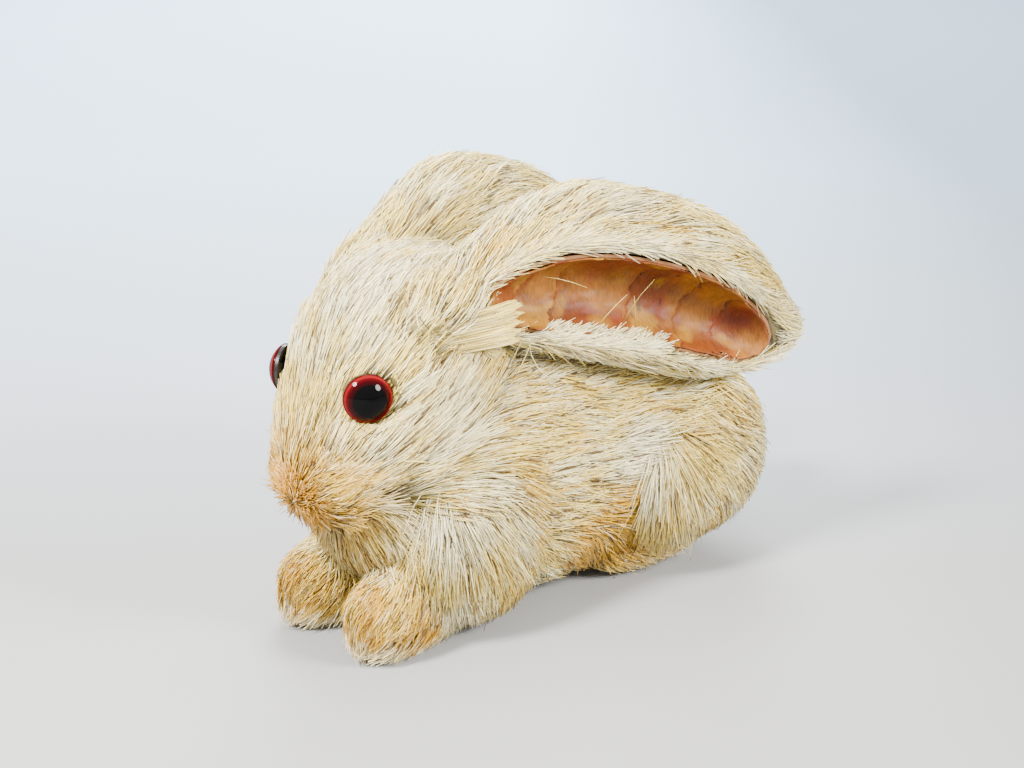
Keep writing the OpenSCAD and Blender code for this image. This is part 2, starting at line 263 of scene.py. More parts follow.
def barkMaterial():
    # thin copper-brown bark: mottled, with fine cross grain, and a gloss where it was pressed
    gloss = {"Specular IOR Level": 0.25, "Coat Weight": 0.04, "Coat Roughness": 0.35}
    material, surface, shade = newMaterial("bark", gloss)
    tint = shade.node("ShaderNodeAttribute", {"attribute_name": "tint"}, {}, "Color")
    grain = noiseAt(shade, objectPoint(shade, (0.3, 1.0, 0.3)), 1500.0, 5.0)
    cloud = noiseAt(shade, objectPoint(shade), 90.0, 3.0)
    tone = grain + cloud * 1.2 - 0.2
    grey = shade.node("ShaderNodeCombineColor", {}, {"Red": tone, "Green": tone, "Blue": tone})
    feed(shade, surface, "Base Color", mixColour(shade, 1.0, tint, grey, "MULTIPLY"))
    feed(shade, surface, "Roughness", grain * 0.3 + 0.42)
    feed(shade, surface, "Normal", bumpFrom(shade, grain * 0.7 + cloud, 0.6, 0.0008))
    return material


print("materials ready")


# camera, lights and floor

camera = {
    "place": (0.4457, -0.4103, 0.2637),
    "turn": 48.0,  # the view's turn round from +Y towards -X
    "down": 17.893,
    "lens": 66.8,
}
camData = bpy.data.cameras.new("camera")
camData.lens = camera["lens"]
camData.sensor_width = 36
camData.clip_start = 0.01
cam = bpy.data.objects.new("camera", camData)
bpy.context.scene.collection.objects.link(cam)
cam.location = camera["place"]
cam.rotation_euler = (math.radians(90 - camera["down"]), 0, math.radians(camera["turn"]))
bpy.context.scene.camera = cam


def addLamp(name, place, size, power, tone, aim):
    data = bpy.data.lights.new(name, "AREA")
    data.shape = "DISK"
    data.size = size
    data.energy = power
    data.color = tone
    lamp = bpy.data.objects.new(name, data)
    bpy.context.scene.collection.objects.link(lamp)
    lamp.location = place
    lamp.rotation_euler = (Vector(aim) - Vector(place)).to_track_quat("-Z", "Y").to_euler()


lamps = [
    ("keyLamp", (0.05, -1.0, 1.05), 0.36, 84.0, (1.0, 0.97, 0.92)),
    ("sideLamp", (1.15, 0.42, 0.75), 0.5, 66.0, (1.0, 0.97, 0.93)),
    ("topLamp", (-0.25, 0.3, 1.3), 0.8, 22.0, (1.0, 0.99, 0.97)),
]
for lamp in lamps:
    addLamp(*lamp, (0, 0, 0.05))
addLamp("backLamp", (-1.35, 1.25, 1.3), 1.2, 140.0, (0.95, 0.98, 1.0), (-1.35, 1.25, 0))

world = bpy.data.worlds.new("studio")
world.use_nodes = True
world.node_tree.nodes["Background"].inputs["Color"].default_value = (1.0, 0.985, 0.96, 1)
world.node_tree.nodes["Background"].inputs["Strength"].default_value = 1.3
bpy.context.scene.world = world


def makeFloor():
    # pale paper, with painted light that makes it lighter and bluer far behind the figure, and painted shade on
    # its left side
    floor = {"half": 3.0, "near": 0.0, "far": 0.7, "asideStart": 0.02, "asideRise": 3.5, "asideShade": 0.58}
    deselect()
    bpy.ops.mesh.primitive_plane_add(size=2 * floor["half"], location=(0, 0, 0))
    sweep = bpy.context.object
    sweep.name = "floor"
    material, surface, shade = newMaterial("floorPaper", {"Specular IOR Level": 0.2})
    point = objectPoint(shade)
    turn = math.radians(camera["turn"])
    away = {0: point, 1: (-math.sin(turn), math.cos(turn), 0)}
    across = {0: point, 1: (math.cos(turn), math.sin(turn), 0)}
    behind = shade.node("ShaderNodeVectorMath", {"operation": "DOT_PRODUCT"}, away, "Value")
    aside = shade.node("ShaderNodeVectorMath", {"operation": "DOT_PRODUCT"}, across, "Value")
    share = ((behind - floor["near"]) * (1 / (floor["far"] - floor["near"]))).clamp(0.0, 1.0)
    # painted shade: the floor darkens beyond asideStart, on the figure's left side
    past = ((aside - floor["asideStart"]) * floor["asideRise"]).clamp(0.0, 1.0)
    sideShade = 1 - past * floor["asideShade"]
    # painted light: the colour turns lighter and bluer far behind the figure
    near = (*colour(0.565, 0.57, 0.57), 1)
    far = (*colour(0.66, 0.755, 0.85), 1)
    grey = shade.node("ShaderNodeCombineColor", {}, {"Red": sideShade, "Green": sideShade, "Blue": sideShade})
    tone = mixColour(shade, share, near, far)
    feed(shade, surface, "Base Color", mixColour(shade, 1.0, tone, grey, "MULTIPLY"))
    feed(shade, surface, "Roughness", noiseAt(shade, point, 3.0, 2.0) * 0.1 + 0.6)
    sweep.data.materials.append(material)


makeFloor()
print("camera, lights and floor ready")


# the skin under the bristles

skinSettings = {
    "voxel": 1.6, "rounds": 5, "in": 1.4,  # the figure's
    "earVoxel": 1.3, "earRounds": 3, "earIn": 0.45,
    "padBack": 3.0,
}
padNodes = [f"{side}_whisker_pad" for side in sides]
solidNodes = [n for n in frame["nodes"] if n.endswith("_core")] + [n for n in rootCoats if n not in padNodes]
bodySkin = copyNodes(solidNodes, "strawSkin")
copyNodes(padNodes, "pads")
bpy.ops.transform.translate(value=(0, skinSettings["padBack"] * mm, 0))
bpy.ops.object.transform_apply(location=True, rotation=True, scale=True)
bodySkin.select_set(True)
bpy.context.view_layer.objects.active = bodySkin
bpy.ops.object.join()
remeshSmooth(bodySkin, skinSettings["voxel"], skinSettings["rounds"], skinSettings["in"])
earSkins = {
    side: remeshSmooth(
        copyNodes([f"{side}_ear_coat"], f"{side}EarSkin"),
        skinSettings["earVoxel"],
        skinSettings["earRounds"],
        skinSettings["earIn"],
    )
    for side in sides
}
earHinge = next(j for j in frame["joints"] if j["child"] == "left_ear")
earPivot = np.array(earHinge["pos_m"]) / mm
collar = {"voxel": 2.0, "rounds": 16, "in": 1.0, "reach": 17.5, "back": 3.0}


def makeCollar(side):
    # a soft root over the ball and its socket: head and ear grown together, cut to a ball round the pivot
    skin = copyNodes(["head_coat", f"{side}_ear_coat"], f"{side}EarCollar")
    remeshSmooth(skin, collar["voxel"], collar["rounds"], collar["in"])
    middle = (earPivot - [0, collar["back"], 0]) * [sides[side], 1, 1]
    deselect()
    bpy.ops.mesh.primitive_ico_sphere_add(subdivisions=5, radius=collar["reach"] * mm, location=middle * mm)
    ball = bpy.context.object
    cut = skin.modifiers.new("cut", "BOOLEAN")
    cut.operation = "INTERSECT"
    cut.solver = "EXACT"
    cut.object = ball
    applyAll(skin)
    bpy.data.objects.remove(ball)
    return skin


collarSkins = {side: makeCollar(side) for side in sides}
print("skins ready:", len(bodySkin.data.polygons), [len(s.data.polygons) for s in earSkins.values()])


def labelFaces(skin, nodes):
    # for every face of a skin, the CAD node that it lies nearest to
    trees = [treeOf(frame["nodes"][node]) for node in nodes]
    centres = readArray(skin.data.polygons, "center", 3) / mm
    found = np.empty(len(centres), int)
    for i, centre in enumerate(centres):
        gaps = [tree.find_nearest(centre)[3] for tree in trees]
        found[i] = int(np.argmin(gaps))
    return np.array(nodes)[found]


bodyLabels = labelFaces(bodySkin, rootCoats)
earLabels = {
    side: labelFaces(earSkins[side], [f"{side}_ear_{part}" for part in ("coat", "card", "lining")])
    for side in sides
}
print("faces labelled")


# which way the bristles lie

mouth = np.array([0.0, -95.0, 52.0])
throat = np.array([0.0, -80.0, 60.0])
shoulderTop = np.array([27.0, -60.0, 60.0])
haunchTop = np.array([40.0, 24.0, 57.0])
earStart = np.array([21.0, -69.0, 98.0])
earTip = np.array([46.0, 82.0, 84.0])


def flowAt(points, part):
    # direction of lie at points on the left half; the right half is its mirror image
    here = points.copy()
    here[:, 0] = np.abs(here[:, 0])
    if part in ("head_coat", "whisker_pad"):
        way = unit(here - mouth)
        chin = smoothStep(here[:, 2:3], 54.0, 46.0) * smoothStep(here[:, 1:2], -60.0, -80.0)
        way = way + np.array([0.25, 0.1, -1.0]) * chin
    elif part == "shoulder_coat":
        way = unit(here - shoulderTop) + np.array([0.0, 0.1, -0.35])
    elif part == "haunch_coat":
        low = smoothStep(here[:, 2:3], 60.0, 50.0)
        way = unit(here - haunchTop) * low + np.array([0.0, 0.8, -0.6]) * (1 - low)
        way = way + np.array([0.0, 0.0, -0.35])
    elif part == "forepaw_coat":
        way = np.tile([0.05, -1.0, -0.9], (len(here), 1))
    elif part == "hind_foot_coat":
        way = np.tile([0.1, 1.0, -0.45], (len(here), 1))
    elif part == "tail_coat":
        way = here - np.array([0.0, 78.0, 40.0])
    elif part == "ear_coat":
        along = smoothStep(here[:, 1:2], -60.0, 90.0)
        way = unit(here - earStart) * (1 - along) + unit(earTip - here) * along
    elif part == "collar":
        along = smoothStep(here[:, 1:2], -74.0, -40.0)
        way = unit(here - mouth) * (1 - along) + unit(here - earStart) * along
    else:
        chest = smoothStep(here[:, 1:2], -30.0, -62.0)
        rump = smoothStep(here[:, 1:2], 45.0, 85.0)
        foot = smoothStep(here[:, 2:3], 36.0, 20.0)
        way = unit(here - throat) * chest + np.array([0.0, 1.0, -0.1]) * (1 - chest)
        way = way + np.array([0.0, 0.0, -1.2]) * rump + np.array([0.0, -0.2, -0.7]) * foot
    way[:, 0] *= np.where(points[:, 0] < 0, -1.0, 1.0)
    return unit(way)


# colours of the straw

straw = {
    "cream": colour(0.965, 0.86, 0.46),
    "wheat": colour(0.935, 0.795, 0.33),
    "white": colour(0.985, 0.955, 0.79),
    "gold": colour(0.90, 0.695, 0.12),
    "tan": colour(0.86, 0.615, 0.09),
    "brown": colour(0.52, 0.30, 0.03),
}
tones = np.array([straw[name] for name in ("cream", "wheat", "white", "gold")])


def noiseField(points, size, shift=0.0):
    return np.array([noise.noise(Vector(p) / size + Vector((shift, 0, 0))) for p in points])


def blendTo(base, target, share):
    return base * (1 - share[:, None]) + target * share[:, None]


def nearSpot(points, spot, reach):
    # 1 at a spot and 0 beyond its reach, on both halves of the figure
    here = points.copy()
    here[:, 0] = np.abs(here[:, 0])
    away = np.linalg.norm((here - np.array(spot)) / np.array(reach), axis=1)
    return 1 - smoothStep(away, 0.45, 1.0)


def tintAt(points, part, rng, patch):
    # patch: a number from 0 to 1 for each bristle, the same over each glued tuft
    fine = noiseField(points, 7.0, 40.0)
    broad = noiseField(points, 26.0)
    shares = {"head_coat": (0.36, 0.62, 0.96), "collar": (0.35, 0.6, 0.95), "ear_coat": (0.42, 0.64, 0.95),
              "tail_coat": (0.3, 0.4, 0.98)}.get(part, (0.36, 0.72, 0.88))
    base = tones[np.searchsorted(shares, np.clip(patch + broad * 0.35, 0, 1))]
    base = blendTo(base, straw["cream"], np.full(len(points), 0.35))
    base = blendTo(base, straw["white"], np.clip((fine - 0.12) * 1.8, 0, 0.6))
    if part in ("head_coat", "whisker_pad"):
        close = 1 - smoothStep(np.linalg.norm(points - mouth, axis=1), 7.0, 27.0)
        base = blendTo(base, straw["gold"], close * 0.9) * (0.93 - 0.1 * close[:, None])
        base = blendTo(base, straw["white"], nearSpot(points, (31, -66, 74), (12, 18, 16)) * 0.6)
        base = blendTo(base, straw["white"], nearSpot(points, (10, -76, 112), (14, 18, 14)) * 0.45)
    if part == "whisker_pad":
        deep = 1 - smoothStep(np.linalg.norm(points - mouth, axis=1), 5.0, 18.0)
        base = blendTo(base, straw["tan"], 0.15 + deep * 0.35)
        base = blendTo(base, straw["brown"], deep * 0.5)
    if part in ("forepaw_coat", "hind_foot_coat"):
        base = blendTo(base, straw["gold"], np.clip(0.8 + fine * 0.9, 0, 1))
        base = blendTo(base, straw["tan"], np.clip(0.2 + fine, 0, 0.6))
        base = blendTo(base, straw["white"], (1 - smoothStep(points[:, 2], 2.0, 10.0)) * 0.75)
    if part in ("body_coat", "haunch_coat"):
        patchy = np.clip(nearSpot(points, (36, 2, 24), (24, 25, 21)) * 1.8, 0, 0.9)
        base = blendTo(blendTo(base, straw["gold"], patchy), straw["tan"], patchy * 0.4)
        base = blendTo(base, straw["white"], nearSpot(points, (38, 8, 50), (20, 22, 13)) * 0.85)
    if part == "shoulder_coat":
        base = blendTo(base, straw["white"], nearSpot(points, (30, -62, 18), (12, 12, 14)) * 0.7)
        base = blendTo(base, straw["white"], nearSpot(points, (28, -60, 52), (11, 13, 11)) * 0.8)
    lone = rng.random(len(points))
    base = blendTo(base, straw["white"], np.clip((lone - 0.78) * 3.5, 0, 0.75))
    base = blendTo(base, straw["brown"], np.clip((0.08 - lone) * 10.0, 0, 0.6))
    bright = rng.uniform(0.64, 1.1, (len(points), 1))
    # painted shade: about one bristle in seven is made nearly dark brown, for the shade in the gaps between
    # bristles
    gapShade = rng.random((len(points), 1)) < 0.15
    return base * np.where(gapShade, bright * np.array([[0.19, 0.13, 0.08]]), bright)


# bristles

eyeRoom = {"tips": 6.3, "roots": 3.8}  # round the middle of an eye, all under its dome
eyeSpots = []
for side in sides:
    low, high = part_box(f"{side}_eye_pupil")
    eyeSpots.append(np.array((low + high) / 2) / mm)


class Ground:
    # a skin that bristles stand on: its triangles, its smooth normals and a tree to find the nearest point
    def __init__(self, skin, labels):
        mesh = skin.data
        mesh.calc_loop_triangles()
        self.corners = readArray(mesh.vertices, "co", 3) / mm
        self.normals = readArray(mesh.vertices, "normal", 3)
        self.triangles = readArray(mesh.loop_triangles, "vertices", 3, np.int32)
        self.labels = labels[readArray(mesh.loop_triangles, "polygon_index", 1, np.int32)]
        self.tree = treeOf(skin)
        a, b, c = (self.corners[self.triangles[:, i]] for i in range(3))
        normal = np.cross(b - a, c - a)
        self.areas = np.linalg.norm(normal, axis=1) / 2
        self.facing = unit(normal)
        self.middles = (a + b + c) / 3

    def scatter(self, weights, count, rng):
        picked = rng.choice(len(weights), count, p=weights / weights.sum())
        shares = rng.random((count, 2))
        over = shares.sum(axis=1) > 1
        shares[over] = 1 - shares[over]
        share = np.column_stack([1 - shares.sum(axis=1), shares])
        trio = self.triangles[picked]
        points = (self.corners[trio] * share[:, :, None]).sum(axis=1)
        return points, unit((self.normals[trio] * share[:, :, None]).sum(axis=1))

    def nearest(self, points):
        found = [self.tree.find_nearest(p) for p in points]
        return np.array([f[0] for f in found]), np.array([f[1] for f in found])


def turnAbout(vectors, axes, angles):
    # Rodrigues' rotation of each vector about its own axis
    c, s = np.cos(angles)[:, None], np.sin(angles)[:, None]
    dot = (vectors * axes).sum(axis=1, keepdims=True)
    return vectors * c + np.cross(axes, vectors) * s + axes * dot * (1 - c)


def shortOfEyes(points, normals, way, length):
    # a bristle that heads for an eye ends before its rim
    way = unit(way - normals * (way * normals).sum(axis=1, keepdims=True))
    for spot in eyeSpots:
        away = spot - points
        ahead = (away * way).sum(axis=1)
        aside = np.sum(away ** 2, axis=1) - ahead ** 2
        meets = (ahead > 0) & (ahead < 30) & (aside < eyeRoom["tips"] ** 2)
        stop = ahead - np.sqrt(np.maximum(eyeRoom["tips"] ** 2 - aside, 0))
        length = np.where(meets, np.minimum(length, np.maximum(stop, 1.5)), length)
    return length


def nearestPatch(points, size, rng):
    # the glued tuft that each bristle belongs to, and the tuft's middle
    centres = points[rng.choice(len(points), max(4, len(points) // size), replace=False)]
    tree = KDTree(len(centres))
    for i, centre in enumerate(centres):
        tree.insert(centre, i)
    tree.balance()
    return np.array([tree.find(p)[1] for p in points]), centres


def bristleMesh(name, path, ups, radius, tints, rng):
    # closed three-sided bristles, all in one mesh, with painted shade that darkens the tint towards the root and a
    # slightly lighter tip
    count, stations, _ = path.shape
    tangent = unit(np.gradient(path, axis=1))
    side = unit(np.cross(tangent, ups))
    up = np.cross(side, tangent)
    turn = rng.uniform(0, 2 * np.pi, count)
    angles = turn[:, None] + np.arange(3) * 2 * np.pi / 3
    across = np.cos(angles)[:, None, :, None] * side[:, :, None, :]
    over = np.sin(angles)[:, None, :, None] * up[:, :, None, :] * 0.8
    verts = path[:, :, None, :] + (across + over) * radius[:, :, None, None]
    verts[..., 2] = np.maximum(verts[..., 2], 0.05)
    verts = verts.reshape(-1, 3) * mm

    base = (np.arange(count) * stations * 3)[:, None]
    quads = []
    for k in range(stations - 1):
        for j in range(3):
            a, b = 3 * k + j, 3 * k + (j + 1) % 3
            quads.append(base + np.array([[a, a + 3, b + 3, b]]))
    quads = np.stack(quads, axis=1).reshape(-1)
    last = 3 * (stations - 1)
    caps = np.stack([base + [[0, 1, 2]], base + [[last + 2, last + 1, last]]], axis=1).reshape(-1)

    mesh = bpy.data.meshes.new(name)
    quadCount, capCount = len(quads) // 4, len(caps) // 3
    mesh.vertices.add(len(verts))
    mesh.vertices.foreach_set("co", verts.astype(np.float32).ravel())
    mesh.loops.add(len(quads) + len(caps))
    mesh.loops.foreach_set("vertex_index", np.concatenate([quads, caps]).astype(np.int32))
    mesh.polygons.add(quadCount + capCount)
    starts = np.concatenate([np.arange(quadCount) * 4, quadCount * 4 + np.arange(capCount) * 3])
    mesh.polygons.foreach_set("loop_start", starts.astype(np.int32))
    mesh.update(calc_edges=True)
    # painted shade: each bristle's tint is darkened towards its root, where the bristles lie in each other's shade
    paintedRootShade = np.interp(np.linspace(0, 1, stations), [0, 0.5, 1], [0.34, 0.92, 1.06])
    shade = paintedRootShade[None, :, None] * tints[:, None, :]
    writeTint(mesh, np.repeat(shade[:, :, None, :], 3, axis=2).reshape(-1, 3))
    piece = bpy.data.objects.new(name, mesh)
    bpy.context.scene.collection.objects.link(piece)
    mesh.materials.append(strawCoat)
    return piece


def writeTint(mesh, tints):
    paint = mesh.attributes.new("tint", "FLOAT_COLOR", "POINT")
    paint.data.foreach_set("color", np.column_stack([tints, np.ones(len(tints))]).astype(np.float32).ravel())


strawCoat = strawMaterial("straw", 1.0)
# the skin under the bristles: the same straw darkened to 0.13, as painted shade of the bristles above it
strawInShade = strawMaterial("strawInShade", 0.13)
mostBristles = 13500  # in one piece, so that it stays under 200,000 triangles
patchSize = 45  # bristles in one glued tuft
stiffness = 0.2  # how far a bristle keeps straight where the skin curves away


def growBristles(name, body, ground, part, weights, settings):
    rng = np.random.default_rng(settings["seed"])
    count = settings["count"] // 1
    segments = 2
    points, normals = ground.scatter(weights, count, rng)
    patch, centres = nearestPatch(points, patchSize, rng)
    patchValue = rng.random(len(centres))
    patchTurn = rng.normal(0, 7.0, len(centres))
    angles = np.radians(patchTurn[patch] + rng.normal(0, settings.get("spread", 6.0), count))
    length = shortOfEyes(points, normals, flowAt(points, part), rng.uniform(*settings["length"], count))
    path, ups = [points], [normals]
    here, up = points, normals
    for k in range(segments):
        way = flowAt(here, part)
        way = unit(way - up * (way * up).sum(axis=1, keepdims=True))
        way = turnAbout(way, up, angles)
        if k == 0:
            first = way
        here, up = ground.nearest(here + way * (length / segments)[:, None])
        path.append(here)
        ups.append(up)
    path, ups = np.stack(path, axis=1), np.stack(ups, axis=1)
    t = np.linspace(0, 1, segments + 1)
    straight = points[:, None, :] + first[:, None, :] * length[:, None, None] * t[None, :, None]
    proud = np.maximum(((straight - path) * ups).sum(axis=2), 0)  # what a stiff bristle stands clear
    downstream = np.clip(((points - centres[patch]) * first).sum(axis=1) / 5.0, -1, 1)
    low = rng.uniform(*settings["height"], count) + downstream * 0.3 + patchValue[patch] * 0.3
    lift = rng.exponential(settings.get("lift", 0.4), count)
    height = low[:, None] - 0.5 * (1 - t) ** 2 + lift[:, None] * t ** 1.6 + proud * stiffness
    path = path + ups * height[:, :, None]
    if "rise" in settings:
        rise = np.array(settings["rise"]) * rng.uniform(0.3, 1.0, (count, 1))
        rise[:, 0] *= np.where(points[:, 0] < 0, -1.0, 1.0)
        path = path + rise[:, None, :] * (t ** 1.3)[None, :, None]
    radius = rng.uniform(*settings["radius"], count)[:, None] * np.interp(t, [0, 0.5, 1], [0.9, 1.0, 0.62])
    tints = tintAt(points, part, rng, patchValue[patch])
    if "tone" in settings:
        tints = tints * (1 - settings["toneShare"]) + straw[settings["tone"]] * settings["toneShare"]
    pieces = math.ceil(count / mostBristles)
    made = []
    for k, chosen in enumerate(np.array_split(np.arange(count), pieces)):
        pieceName = name if pieces == 1 else f"{name}{k + 1}"
        piece = bristleMesh(pieceName, path[chosen], ups[chosen], radius[chosen], tints[chosen], rng)
        if body:
            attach(piece, body)
        made.append(piece)
    print(name, count, "bristles")
    return made


def paintSkin(skin, parts, labels, rng):
    # the same tints on the skin itself, so that what shows between the bristles is straw too, darkened by its
    # material as painted shade
    tints = np.zeros((len(skin.data.vertices), 3))
    corners = readArray(skin.data.vertices, "co", 3) / mm
    partOf = np.array([parts[label] for label in labels])
    owner = np.zeros(len(corners), int)
    for i, polygon in enumerate(skin.data.polygons):
        for v in polygon.vertices:
            owner[v] = i
    for part in set(parts.values()):
        mine = partOf[owner] == part
        if mine.any():
            tints[mine] = tintAt(corners[mine], part, rng, np.full(mine.sum(), 0.5))
    writeTint(skin.data, tints)
    skin.data.materials.clear()
    skin.data.materials.append(strawInShade)


def partName(node):
    for side in sides:
        node = node.removeprefix(side + "_")
    return node


paintRng = np.random.default_rng(5)
paintSkin(bodySkin, {n: partName(n) for n in rootCoats}, bodyLabels, paintRng)
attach(bodySkin, "body")
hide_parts(*rootCoats)
for side in sides:
    names = {f"{side}_ear_{part}": "ear_coat" for part in ("coat", "card", "lining")}
    paintSkin(earSkins[side], names, earLabels[side], paintRng)
    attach(earSkins[side], f"{side}_ear")
    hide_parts(f"{side}_ear_coat")
print("skins painted")

coats = {
    "head_coat": {"name": "headBristles", "count": 23500, "length": (9, 17), "radius": (0.14, 0.22),
                  "height": (-0.3, 0.4), "lift": 0.25, "spread": 4.0},
    "whisker_pad": {"name": "whiskerBristles", "count": 3000, "length": (4, 8), "radius": (0.12, 0.18),
                    "height": (-0.3, 0.4), "lift": 0.4},
    "body_coat": {"name": "bodyBristles", "count": 22500, "length": (10, 18), "radius": (0.15, 0.23),
                  "height": (-0.3, 0.5), "lift": 0.35, "spread": 7.0},
    "shoulder_coat": {"name": "shoulderBristles", "count": 9500, "length": (10, 19), "radius": (0.15, 0.23),
                      "height": (-0.3, 0.5), "lift": 0.35},
    "haunch_coat": {"name": "haunchBristles", "count": 11000, "length": (12, 22), "radius": (0.15, 0.23),
                    "height": (-0.3, 0.5), "lift": 0.35, "spread": 5.0},
    "forepaw_coat": {"name": "forepawBristles", "count": 7000, "length": (6, 11), "radius": (0.13, 0.19),
                     "height": (-0.3, 0.4), "lift": 0.5, "spread": 8.0},
    "hind_foot_coat": {"name": "hindFootBristles", "count": 3000, "length": (6, 11), "radius": (0.13, 0.19),
                       "height": (-0.3, 0.4), "lift": 0.5, "spread": 11.0},
    "tail_coat": {"name": "tailBristles", "count": 1800, "length": (7, 12), "radius": (0.13, 0.19),
                  "height": (-0.3, 0.4), "lift": 0.7, "spread": 8.0},
}
slots = {"whisker_pad": "tan_bristle", "forepaw_coat": "tan_bristle", "hind_foot_coat": "tan_bristle",
         "tail_coat": "white_bristle"}

bodyGround = Ground(bodySkin, bodyLabels)
partLabels = np.array([partName(label) for label in bodyGround.labels])
underside = np.where(bodyGround.facing[:, 2] < -0.6, 0.2, 1.0)
clearOfEyes = np.ones(len(bodyGround.areas))
for spot in eyeSpots:
    clearOfEyes *= np.linalg.norm(bodyGround.middles - spot, axis=1) > eyeRoom["roots"]
for seed, (part, settings) in enumerate(coats.items()):
    weights = bodyGround.areas * (partLabels == part) * underside * clearOfEyes
    settings.update(seed=seed + 11, slot=slots.get(part, "cream_bristle"))
    growBristles(settings["name"], "body", bodyGround, part, weights, settings)

# loose-ended fringes over the creases: at the chin, the cheeks, the front of the haunch and the hems
fringes = {
    "chinFringe": {"part": "head_coat", "spot": (6, -84, 47), "reach": (17, 14, 8), "count": 1500,
                   "length": (9, 16), "rise": (0.5, -1.0, -2.5)},
    "cheekFringe": {"part": "head_coat", "spot": (27, -62, 58), "reach": (12, 20, 14), "count": 1500,
                    "length": (9, 16), "rise": (2.0, 1.0, -1.0)},
    "haunchFringe": {"part": "haunch_coat", "spot": (41, 26, 42), "reach": (10, 11, 20), "count": 1600,
                     "length": (14, 22), "rise": (2.5, -1.0, -1.0)},
    "shoulderFringe": {"part": "shoulder_coat", "spot": (32, -52, 48), "reach": (14, 22, 20), "count": 1500,
                       "length": (12, 20), "rise": (1.6, 0.5, -1.0)},
    "mouthFringe": {"part": "whisker_pad", "spot": (0, -98, 52), "reach": (11, 12, 11), "count": 1500,
                    "length": (2.5, 6), "rise": (0.4, -0.3, 0.0), "tone": "tan", "toneShare": 0.3},
    "pawFringe": {"part": "forepaw_coat", "spot": (18, -84, 6), "reach": (18, 22, 9), "count": 900,
                  "length": (4, 7), "rise": (0.0, -1.0, -1.0), "tone": "white", "toneShare": 0.5},
}
for seed, (name, settings) in enumerate(fringes.items()):
    near = nearSpot(bodyGround.middles, settings["spot"], settings["reach"])
    weights = bodyGround.areas * near * clearOfEyes * (bodyGround.facing[:, 2] > -0.8)
    settings.update(seed=seed + 51, slot="cream_bristle", radius=(0.14, 0.22), height=(0.2, 0.9), lift=0.8)
    growBristles(name, "body", bodyGround, settings["part"], weights, settings)


# ears: their coats, and the bristles that cross from the head on to them

def growEarCoat(side):
    coat = {"count": 11000, "length": (11, 20), "radius": (0.14, 0.22), "height": (-0.3, 0.4), "lift": 0.35,
            "spread": 5.0, "slot": "ear_bristle"}
    rim = {"count": 2200, "length": (8, 15), "radius": (0.15, 0.22), "height": (0.0, 0.6), "lift": 0.5,
           "spread": 10.0, "slot": "ear_bristle", "tone": "white", "toneShare": 0.25,
           "rise": (1.0, 0.0, -1.6)}
    lip = {"count": 1300, "length": (9, 17), "radius": (0.15, 0.22), "height": (0.2, 0.8), "lift": 0.5,
           "spread": 7.0, "slot": "ear_bristle", "tone": "white", "toneShare": 0.6, "rise": (0.8, 0.0, 3.6)}
    ground = Ground(earSkins[side], earLabels[side])
    card = treeOf(frame["nodes"][f"{side}_ear_card"])
    gaps = np.array([card.find_nearest(p)[3] for p in ground.middles])
    onCoat = ground.areas * (gaps > 1.7)
    body = f"{side}_ear"
    growBristles(f"{side}EarBristles", body, ground, "ear_coat", onCoat, dict(coat, seed=31 + sides[side]))
    nearRim = onCoat * (gaps < 4.0) * (ground.facing[:, 0] * sides[side] > 0.0)
    below = ground.middles[:, 2] < 101.0 - 0.16 * (ground.middles[:, 1] + 20)
    upper = nearRim * np.where(below, 0.35, 1.0)
    growBristles(f"{side}RimBristles", body, ground, "ear_coat", upper, dict(rim, seed=35 + sides[side]))
    lower = nearRim * below * (np.abs(ground.middles[:, 1] + 15) < 19)
    growBristles(f"{side}LipBristles", body, ground, "ear_coat", lower, dict(lip, seed=39 + sides[side]))


def growCollar(side):
    # bristles that run from the head up on to the ear
    bristles = {"count": 3800, "length": (10, 17), "radius": (0.14, 0.22), "height": (0.0, 0.7), "lift": 0.4,
                "spread": 5.0, "slot": "cream_bristle"}
    skin = collarSkins[side]
    middle = (earPivot - [0, collar["back"], 0]) * [sides[side], 1, 1]
    labels = np.full(len(skin.data.polygons), "collar")
    ground = Ground(skin, labels)
    paintSkin(skin, {"collar": "collar"}, labels, paintRng)
    edge = collar["reach"] - np.linalg.norm(ground.middles - middle, axis=1)
    outward = (ground.facing * unit(ground.middles - middle)).sum(axis=1)
    weights = ground.areas * (edge > 0.6) * (outward > 0.1)
    settings = dict(bristles, seed=43 + sides[side])
    pieces = growBristles(f"{side}RootBristles", None, ground, "collar", weights, settings)
    return [skin] + pieces


def strandPiece(name, starts, ends, bow, part, settings):
    # bristles laid one by one from given starts to given ends, bowed outwards on the way
    rng = np.random.default_rng(settings["seed"])
    count = len(starts)
    t = np.linspace(0, 1, 4)
    path = starts[:, None, :] * (1 - t)[None, :, None] + ends[:, None, :] * t[None, :, None]
    path = path + bow[:, None, :] * (4 * t * (1 - t))[None, :, None]
    ups = np.tile(unit(np.array(settings["up"], float)), (count, 4, 1))
    radius = rng.uniform(*settings["radius"], count)[:, None] * np.array([[0.9, 1.0, 0.9, 0.6]])
    tints = tintAt(starts, part, rng, rng.random(count))
    tints = tints * (1 - settings["toneShare"]) + straw[settings["tone"]] * settings["toneShare"]
    piece = bristleMesh(name, path, ups, radius, tints, rng)
    return piece


